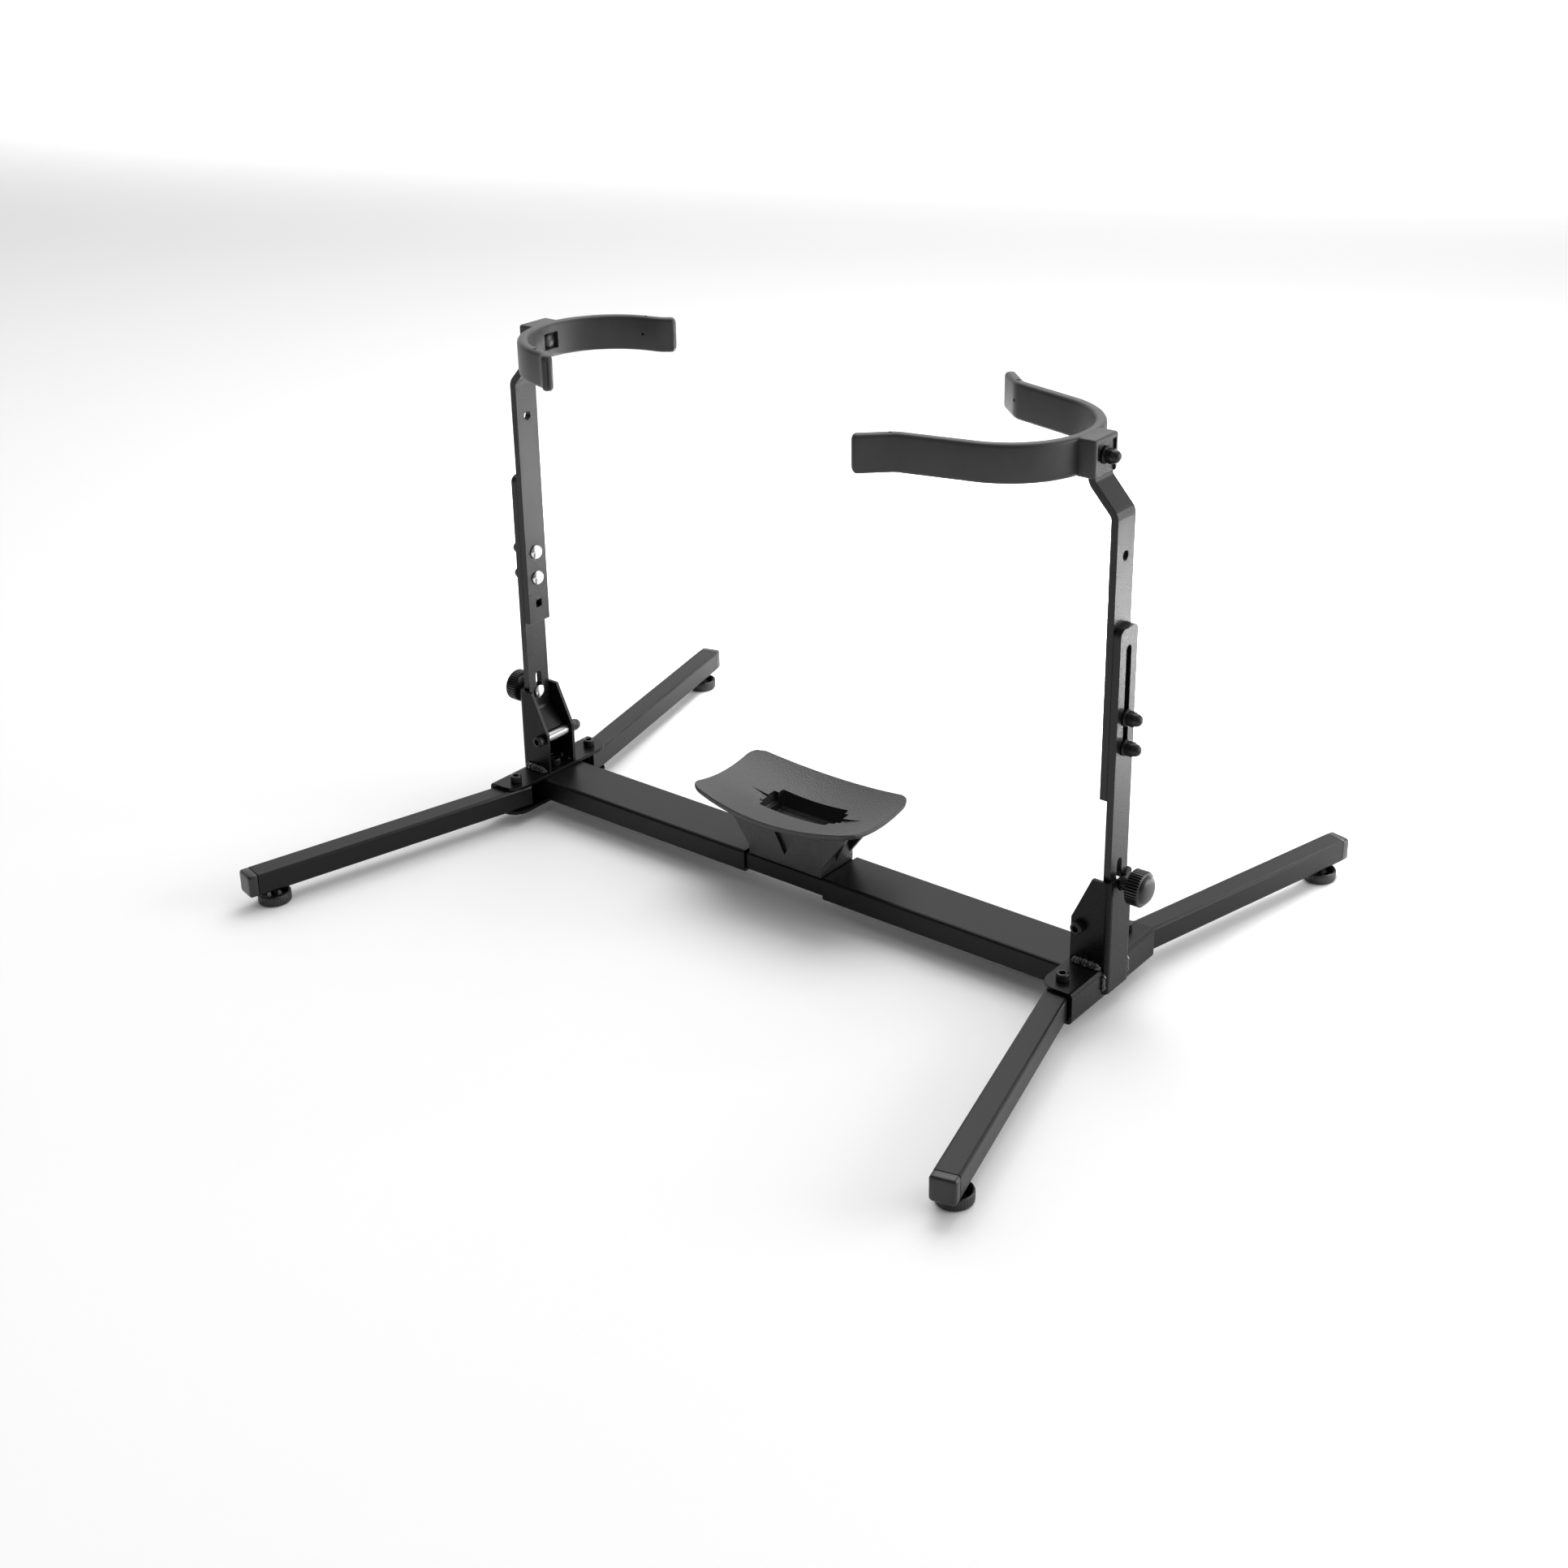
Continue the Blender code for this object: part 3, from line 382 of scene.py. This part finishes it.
def yoke_path(spread, flare):
    """Points along the middle of a right-hand yoke's wall, tip to tip, with a short bend at each flare."""
    offset = YOKE_WALL / 2
    radius = YOKE_RADIUS + offset
    centre = YOKE_BACK - YOKE_RADIUS
    swing = pi / 2 - YOKE_OPENING
    half = []
    for i in range(ARC_STEPS + 1):
        angle = swing * i / ARC_STEPS
        half.append(Vector((centre + radius * cos(angle), radius * sin(angle))))
    side = YOKE_RADIUS * sin(swing) + (spread - YOKE_RADIUS * (1 - cos(swing))) * tan(YOKE_OPENING)
    turn = atan2(flare[1] - side, flare[0] - spread)
    middle = (YOKE_OPENING + turn) / 2
    grow = offset / cos((turn - YOKE_OPENING) / 2)
    bend = Vector((YOKE_BACK - spread + grow * sin(middle), side + grow * cos(middle)))
    tip = Vector((YOKE_BACK - flare[0] + offset * sin(turn), flare[1] + offset * cos(turn)))
    before = bend + (half[-1] - bend).normalized() * min(BEND, (half[-1] - bend).length * 0.6)
    after = bend + (tip - bend).normalized() * min(BEND, (tip - bend).length * 0.4)
    steps = max(2, int((before - half[-1]).length / 0.006))
    half += [half[-1].lerp(before, i / steps) for i in range(1, steps)]
    for i in range(7):
        t = i / 6
        half.append(before * (1 - t) ** 2 + bend * 2 * t * (1 - t) + after * t * t)
    end = (tip - after).length
    along = (tip - after).normalized()
    for d in (0.3, 0.6, 0.9):
        half.append(after + along * (end - TIP_ROUND) * d)
    for i in range(6):
        half.append(tip - along * TIP_ROUND * (1 - sin(pi / 2 * i / 5)))
    mirror = [Vector((p.x, -p.y)) for p in half[:0:-1]]
    return mirror + half


def wall_section(shrink):
    """Rounded outline of the wall as (across, up) points, drawn in by shrink near the tips."""
    half_wall = YOKE_WALL / 2 - shrink
    half_tall = YOKE_HALF_TALL - shrink * 1.3
    radius = max(0.0033 - shrink * 0.5, 0.0006)
    ring = []
    for quarter, (a, b) in enumerate(CORNERS):
        for i in range(5):
            t = pi / 2 * (quarter + i / 4)
            across = a * (half_wall - radius) + radius * cos(t)
            up = b * (half_tall - radius) + radius * sin(t)
            ring.append((across, up))
    return ring


def drill(radius, start, end):
    """Profile of a plain round cutter."""
    return [(start, 0), (start, radius), (end, radius), (end, 0)]


def yoke(side_name, side):
    """Rubber C with a socket block behind it that drops over the bar's end."""
    node = f"{side_name}_yoke"
    low, high = (Vector(c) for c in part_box(node))
    level = (low.z + high.z) / 2
    path = yoke_path(*YOKE_SIZES[side_name])
    total = [0.0]
    for a, b in zip(path, path[1:]):
        total.append(total[-1] + (b - a).length)
    bm = bmesh.new()
    rings = []
    for i, point in enumerate(path):
        near = min(total[i], total[-1] - total[i])
        shrink = 0.0
        if near < TIP_ROUND:
            shrink = min(TIP_ROUND - (TIP_ROUND * TIP_ROUND - (TIP_ROUND - near) ** 2) ** 0.5, 0.0036)
        a = path[max(i - 1, 0)]
        b = path[min(i + 1, len(path) - 1)]
        along = (b - a).normalized()
        across = Vector((along.y, -along.x))
        ring = []
        for u, w in wall_section(shrink):
            spot = point + across * u
            ring.append(bm.verts.new((spot.x, spot.y, level + w)))
        rings.append(ring)
    size = len(rings[0])
    for here, there in zip(rings, rings[1:]):
        for i in range(size):
            j = (i + 1) % size
            bm.faces.new((here[i], here[j], there[j], there[i]))
    bm.faces.new(rings[0][::-1])
    bm.faces.new(rings[-1])
    block = box_bm((YOKE_BACK + 0.0045, -0.0160, low.z), (0.2795, 0.0160, high.z - 0.0006), 0.0022)
    bar_slot = box_bm((0.2717, -0.0128, low.z - 0.01), (0.2900, 0.0128, 0.4463))
    window = box_bm((YOKE_BACK - 0.01, -0.0080, level - 0.0070), (YOKE_BACK + 0.0042, 0.0080, level + 0.0070))
    bolt_hole = lathe(drill(0.0033, 0.24, 0.30), (0, 0, level), (1, 0, 0), 24)
    steps = [("UNION", block), ("DIFFERENCE", bar_slot), ("DIFFERENCE", window), ("DIFFERENCE", bolt_hole)]
    for distance in (PIN_HOLE_FROM_TIP, total[-1] - PIN_HOLE_FROM_TIP):
        i = min(range(len(total)), key=lambda k: abs(total[k] - distance))
        spot = (path[i].x, path[i].y, high.z - 0.004)
        steps.append(("DIFFERENCE", lathe(drill(0.0016, 0, 0.02), spot, (0, 0, 1), 16)))
        toward = Vector((0, -1 if path[i].y > 0 else 1, 0))
        start = Vector((path[i].x, path[i].y, level)) + toward * 0.0028
        steps.append(("DIFFERENCE", lathe(drill(0.0012, 0, 0.02), start, toward, 16)))
    done = combined(bm, steps)
    if side < 0:
        bmesh.ops.scale(done, vec=(-1, 1, 1), verts=done.verts)
    settle(f"{node}_moulding", done, "rubber", BODY[node], [node], angle=34)


# saddle

SADDLE_X = 0.084
SADDLE_Y = 0.044
SADDLE_BULGE = 0.19
SADDLE_ROUND = 0.012
SADDLE_LOWEST = 0.0743
SADDLE_THICK = 0.0055
SADDLE_ACROSS, SADDLE_DEEP, SADDLE_RIM_STEPS = 72, 40, 6
WINDOW_ENDS = (-0.0320, 0.0380)


def saddle_height(x, y):
    """Top of the dish, which rises toward its ends and its long edges."""
    return SADDLE_LOWEST + 1.84 * x * x + 3.79 * y * y


def edge_reach(dx, dy):
    """How far a ray from the dish's centre runs before it leaves a rectangle with round corners."""
    reach = min(SADDLE_X / max(dx, 1e-9), SADDLE_Y / max(dy, 1e-9))
    corner = (SADDLE_X - SADDLE_ROUND, SADDLE_Y - SADDLE_ROUND)
    if dx * reach > corner[0] and dy * reach > corner[1]:
        square = dx * dx + dy * dy
        along = (dx * corner[0] + dy * corner[1]) / square
        rest = (corner[0] ** 2 + corner[1] ** 2 - SADDLE_ROUND ** 2) / square
        reach = along + max(along * along - rest, 0.0) ** 0.5
    return reach


def saddle_point(u, v):
    """A place on the dish for u and v from -1 to 1: a rectangle with round corners and bulging long edges."""
    scale = max(abs(u), abs(v))
    if not scale:
        return 0.0, 0.0
    dx = SADDLE_X * u / scale
    dy = SADDLE_Y * v / scale
    reach = edge_reach(abs(dx), abs(dy)) * scale
    x = dx * reach
    y = dy * reach
    return x, y * (1 + SADDLE_BULGE * (1 - (x / SADDLE_X) ** 2))


def saddle():
    """Dished rest with a rounded rim on a box foot, with a notched window, grooves, gussets and a rib."""
    across, deep = SADDLE_ACROSS, SADDLE_DEEP
    bm = bmesh.new()
    top, under = [], []
    for i in range(across + 1):
        up, down = [], []
        for j in range(deep + 1):
            u, v = 2 * i / across - 1, 2 * j / deep - 1
            x, y = saddle_point(u * 0.985, v * 0.975)
            up.append(bm.verts.new((x, y, saddle_height(x, y))))
            down.append(bm.verts.new((x * 0.985, y * 0.975, saddle_height(x, y) - SADDLE_THICK)))
        top.append(up)
        under.append(down)
    for grid, flip in ((top, False), (under, True)):
        for i in range(across):
            for j in range(deep):
                ring = [grid[i][j], grid[i + 1][j], grid[i + 1][j + 1], grid[i][j + 1]]
                bm.faces.new(ring[::-1] if flip else ring)
    around = [(i, 0) for i in range(across)] + [(across, j) for j in range(deep)]
    around += [(across - i, deep) for i in range(across)] + [(0, deep - j) for j in range(deep)]
    loops = [[top[i][j] for i, j in around]]
    for step in range(1, SADDLE_RIM_STEPS):
        t = pi * step / SADDLE_RIM_STEPS
        loop = []
        for i, j in around:
            a, b = top[i][j].co, under[i][j].co
            u, v = 2 * i / across - 1, 2 * j / deep - 1
            x, y = saddle_point(u, v)
            out = Vector((x - a.x, y - a.y, 0)) * sin(t)
            loop.append(bm.verts.new(a.lerp(b, (1 - cos(t)) / 2) + out))
        loops.append(loop)
    loops.append([under[i][j] for i, j in around])
    for here, there in zip(loops, loops[1:]):
        for i in range(len(around)):
            j = (i + 1) % len(around)
            bm.faces.new((here[i], there[i], there[j], here[j]))
    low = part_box("saddle")[0][2]
    steps = [("UNION", box_bm((-0.0385, -0.0220, low), (0.0385, 0.0220, 0.0722), 0.0009, 2))]
    for end in (-1, 1):
        gusset = [(end * 0.0370, 0.038), (end * 0.0670, 0.0785), (end * 0.0370, 0.0725)]
        for middle in (-0.0195, 0.0195):
            steps.append(("UNION", prism_bm(gusset, middle - 0.0021, middle + 0.0021)))
    steps.append(("UNION", prism_bm([(0.0370, 0.036), (0.0560, 0.0755), (0.0370, 0.0725)], -0.0015, 0.0015)))
    window = box_bm((WINDOW_ENDS[0], -0.0155, 0.0600), (WINDOW_ENDS[1], 0.0175, 0.1000), 0.0022)
    steps.append(("DIFFERENCE", window))
    for end in WINDOW_ENDS:
        notch = box_bm((end - 0.0045, -0.0095, 0.0665), (end + 0.0045, 0.0115, 0.1000), 0.0014)
        steps.append(("DIFFERENCE", notch))
    for end, tip in zip(WINDOW_ENDS, (-0.0640, 0.0680)):
        root = end * 0.95
        groove = [(root, 0.0735), (tip, saddle_height(tip, 0) + 0.0004), (tip, 0.0950), (root, 0.0950)]
        steps.append(("DIFFERENCE", prism_bm(groove, -0.0060, 0.0030)))
    recess = [(-0.0130, 0.0655), (0.0, 0.0415), (0.0130, 0.0655)]
    steps.append(("DIFFERENCE", prism_bm(recess, -0.0300, -0.0190)))
    steps.append(("DIFFERENCE", box_bm((-0.0350, -0.0172, 0.0200), (0.0350, 0.0185, 0.0560))))
    done = combined(bm, steps)
    settle("saddle_moulding", done, "saddle", "base", ["saddle"], angle=34)


# weld beads

BEAD_SIDES = 14
BEAD_STEP = 0.0006
RIPPLE = 0.0052


def weld_bead(name, start, end, body, radius):
    """A rippled bead laid from start to end, thinner at its ends."""
    start, end = Vector(start), Vector(end)
    along = (end - start).normalized()
    side = along.orthogonal().normalized()
    up = along.cross(side)
    length = (end - start).length
    count = max(16, int(length / BEAD_STEP))
    bm = bmesh.new()
    rings = []
    for i in range(count + 1):
        t = i / count
        taper = min(1.0, 4.0 * min(t, 1 - t) + 0.25)
        ripple = 0.32 * abs(sin(t * length / RIPPLE * pi)) + 0.10 * sin(t * length / 0.0017)
        r = radius * taper * (1 + ripple)
        middle = start.lerp(end, t)
        ring = []
        for k in range(BEAD_SIDES):
            angle = 2 * pi * k / BEAD_SIDES
            ring.append(bm.verts.new(middle + side * r * cos(angle) + up * r * sin(angle)))
        rings.append(ring)
    for here, there in zip(rings, rings[1:]):
        for k in range(BEAD_SIDES):
            m = (k + 1) % BEAD_SIDES
            bm.faces.new((here[k], here[m], there[m], there[k]))
    bm.faces.new(rings[0][::-1])
    bm.faces.new(rings[-1])
    settle(name, bm, "weld", body, angle=60)


# leg caps

LEG_SPLAY = radians(14.3)
LEG_PIVOT = (0.2866, 0.0473)
LEG_END = 0.2530
CAP_CORNER_STEPS = 6


def leg_cap(node, sx, sy):
    """Moulded end cap with soft corners, a domed end and a plug inside the tube."""
    low, high = (Vector(c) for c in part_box(node))
    level = (low.z + high.z) / 2
    direction = Vector((sin(LEG_SPLAY) * sx, cos(LEG_SPLAY) * sy, 0))
    pivot = Vector((LEG_PIVOT[0] * sx, LEG_PIVOT[1] * sy, level))
    across = Vector((direction.y, -direction.x, 0))

    def section(distance, half, radius):
        ring = []
        for quarter, (a, b) in enumerate(CORNERS):
            for i in range(CAP_CORNER_STEPS):
                t = pi / 2 * (quarter + i / (CAP_CORNER_STEPS - 1))
                u = a * (half - radius) + radius * cos(t)
                w = b * (half - radius) + radius * sin(t)
                ring.append(bm.verts.new(pivot + direction * distance + across * u + Vector((0, 0, w))))
        return ring

    bm = bmesh.new()
    steps = [
        (LEG_END - 0.0090, 0.0077, 0.0006), (LEG_END, 0.0077, 0.0006), (LEG_END, 0.0094, 0.0022),
        (LEG_END + 0.0004, 0.0099, 0.0026), (LEG_END + 0.0010, 0.0100, 0.0028), (0.2592, 0.0100, 0.0028),
        (0.2600, 0.0097, 0.0028), (0.2606, 0.0091, 0.0026), (0.2609, 0.0082, 0.0022),
        (0.2610, 0.0060, 0.0012),
    ]
    rings = [section(*step) for step in steps]
    size = 4 * CAP_CORNER_STEPS
    for here, there in zip(rings, rings[1:]):
        for i in range(size):
            j = (i + 1) % size
            bm.faces.new((here[i], here[j], there[j], there[i]))
    bm.faces.new(rings[0][::-1])
    bm.faces.new(rings[-1])
    settle(f"{node}_moulding", bm, "plastic", BODY[node], [node], angle=40)


# CAD nodes that stay shown

def dress(node, slot, width):
    """Gives a CAD node its finish and softened edges."""
    thing = frame["nodes"][node]
    thing.data.materials.clear()
    thing.data.materials.append(LOOKS[slot])
    weld = thing.modifiers.new("weld", "WELD")
    weld.merge_threshold = 1e-5
    bevel = thing.modifiers.new("soft_edges", "BEVEL")
    bevel.width = width
    bevel.segments = 3
    bevel.limit_method = "ANGLE"
    bevel.angle_limit = radians(38)
    bevel.harden_normals = False


WELD_Y = 0.0176
EAR_WELD = (0.2765, 0.3025, 0.0370, 0.0045)
WEB_WELD = (0.3048, 0.0180, 0.0335, 0.0017)


def weld_bracket(side_name, side, face, sy):
    """The two beads that hold one side of the bracket to its channel."""
    near, far, level, thick = EAR_WELD
    y = sy * WELD_Y
    end = f"{side_name}_end"
    weld_bead(f"{side_name}_{face}_ear_weld", (side * near, y, level), (side * far, y, level), end, thick)
    x, low, high, thin = WEB_WELD
    weld_bead(f"{side_name}_{face}_web_weld", (side * x, y, low), (side * x, y, high), end, thin)


def build():
    """Makes every shown piece, side by side and corner by corner."""
    dress("centre_tube", "tube", 0.0004)
    saddle()
    for side_name, side in SIDES.items():
        for part, slot, width in (
            ("beam_tube", "tube", 0.0004), ("end_channel", "plate", 0.0005), ("bracket", "plate", 0.0005),
            ("lower_post", "bar", 0.0007), ("upper_bar", "bar", 0.0007), ("yoke_core", "steel", 0.0003),
        ):
            dress(f"{side_name}_{part}", slot, width)
        cap_screw(f"{side_name}_beam_screw", (0, 0, 1))
        cap_screw(f"{side_name}_post_pivot_screw", (0, -1, 0))
        dome_nut(f"{side_name}_post_pivot_nut", (0, 1, 0))
        spacer(f"{side_name}_post_pivot_tube")
        for level in ("high", "low"):
            carriage_bolt(f"{side_name}_height_bolt_{level}", (-side, 0, 0), 0.0055)
            dome_nut(f"{side_name}_height_nut_{level}", (side, 0, 0))
        carriage_bolt(f"{side_name}_clamp_bolt", (-side, 0, 0), 0)
        knob(f"{side_name}_clamp_knob", side)
        yoke(side_name, side)
        carriage_bolt(f"{side_name}_yoke_bolt", (-side, 0, 0), 0, "screw")
        dome_nut(f"{side_name}_yoke_nut", (side, 0, 0))
        for face, sy in (("front", -1), ("back", 1)):
            corner = f"{face}_{side_name}"
            dress(f"{corner}_leg", "tube", 0.0004)
            leg_cap(f"{corner}_leg_cap", side, sy)
            cap_screw(f"{corner}_leg_pivot_screw", (0, 0, 1))
            hex_nut(f"{corner}_leg_pivot_nut")
            foot(f"{corner}_levelling_foot")
            weld_bracket(side_name, side, face, sy)


# stage, light and camera

def area(name, place, target, size, energy, size_y=None, spread=180):
    """A soft lamp in watts that faces its target, square or size by size_y, with its spread in degrees."""
    data = bpy.data.lights.new(name, "AREA")
    data.energy = energy
    data.size = size
    data.spread = radians(spread)
    if size_y:
        data.shape = "RECTANGLE"
        data.size_y = size_y
    lamp = bpy.data.objects.new(name, data)
    lamp.location = place
    lamp.rotation_euler = (Vector(target) - Vector(place)).to_track_quat("-Z", "Y").to_euler()
    bpy.context.scene.collection.objects.link(lamp)


BACKDROP = 0.80
FLOOR_HALF = 20
FADE_FROM, FADE_TO = (-0.5, 0.10), (0.25, 1.08)     # (the direction's y, strength of the world)


def set_stage():
    """Pale floor, a world that is dimmer toward -y, and the lamps."""
    bm = bmesh.new()
    bmesh.ops.create_grid(bm, x_segments=2, y_segments=2, size=FLOOR_HALF)
    mesh = bpy.data.meshes.new("studio_floor")
    bm.to_mesh(mesh)
    bm.free()
    floor = bpy.data.objects.new("studio_floor", mesh)
    floor.location = (0, 0, -0.0002)
    bpy.context.scene.collection.objects.link(floor)
    paper = bpy.data.materials.new("pale_paper")
    paper.use_nodes = True
    shader = paper.node_tree.nodes["Principled BSDF"]
    shader.inputs["Base Color"].default_value = (0.94, 0.94, 0.94, 1)
    shader.inputs["Roughness"].default_value = 0.9
    shader.inputs["Specular IOR Level"].default_value = 0.1
    mesh.materials.append(paper)

    world = bpy.data.worlds.new("studio")
    world.use_nodes = True
    tree = world.node_tree
    place = tree.nodes.new("ShaderNodeTexCoord")
    split = tree.nodes.new("ShaderNodeSeparateXYZ")
    fade = tree.nodes.new("ShaderNodeMapRange")
    fade.inputs["From Min"].default_value, fade.inputs["To Min"].default_value = FADE_FROM
    fade.inputs["From Max"].default_value, fade.inputs["To Max"].default_value = FADE_TO
    tree.links.new(place.outputs["Generated"], split.inputs["Vector"])
    tree.links.new(split.outputs["Y"], fade.inputs["Value"])
    ray = tree.nodes.new("ShaderNodeLightPath")
    shown = tree.nodes.new("ShaderNodeMix")
    shown.inputs["B"].default_value = BACKDROP
    tree.links.new(ray.outputs["Is Camera Ray"], shown.inputs["Factor"])
    tree.links.new(fade.outputs["Result"], shown.inputs["A"])
    tree.links.new(shown.outputs["Result"], tree.nodes["Background"].inputs["Strength"])
    tree.nodes["Background"].inputs["Color"].default_value = (1, 1, 1, 1)
    bpy.context.scene.world = world
    area("overhead", (-0.4, 1.2, 2.3), (0, 0.1, 0.1), 2.0, 34)
    area("right_panel", (2.4, 1.5, 0.8), (0.1, 0, 0.25), 1.8, 40, 1.2)
    area("floor_glow", (0.05, 0.95, 1.00), (0.05, 0.75, 0.0), 1.8, 21, 0.3, spread=56)
    area("far_glow", (-2.8, 4.6, 3.4), (-3.2, 5.4, 0.0), 5.0, 260, 3.0, spread=90)
    area("near_glow", (2.2, -5.0, 3.4), (2.6, -5.8, 0.0), 5.0, 240, 3.0, spread=90)
    area("glint", (0.2, -1.9, 1.7), (0.1, 0, 0.1), 0.22, 1.8)
    area("front_fill", (-0.6, -2.4, 1.8), (0, 0, 0.2), 1.6, 0.8)
    bpy.context.scene.view_settings.view_transform = "Standard"


CAMERA_PLACE = (1.01772, -1.28576, 0.90331)
CAMERA_YAW, CAMERA_PITCH, CAMERA_ROLL = 0.6386, 0.38421, -0.00341
SENSOR, LENS = 36.0, 50.35378882
SHIFT = (-0.0486542443, -0.1014492754)


def set_camera():
    """Camera at the viewing angle, turned by yaw, pitch and roll in radians."""
    yaw, pitch, roll = CAMERA_YAW, CAMERA_PITCH, CAMERA_ROLL
    forward = Vector((-sin(yaw) * cos(pitch), cos(yaw) * cos(pitch), -sin(pitch)))
    right = Vector((cos(yaw), sin(yaw), 0))
    up = Vector((-sin(yaw) * sin(pitch), cos(yaw) * sin(pitch), cos(pitch)))
    level = right * cos(roll) + up * sin(roll)
    rise = up * cos(roll) - right * sin(roll)
    data = bpy.data.cameras.new("camera")
    data.sensor_width = SENSOR
    data.lens = LENS
    data.shift_x, data.shift_y = SHIFT
    camera = bpy.data.objects.new("camera", data)
    turn = Matrix((level, rise, -forward)).transposed().to_4x4()
    camera.matrix_world = Matrix.Translation(CAMERA_PLACE) @ turn
    bpy.context.scene.collection.objects.link(camera)
    bpy.context.scene.camera = camera


build()
set_stage()
set_camera()
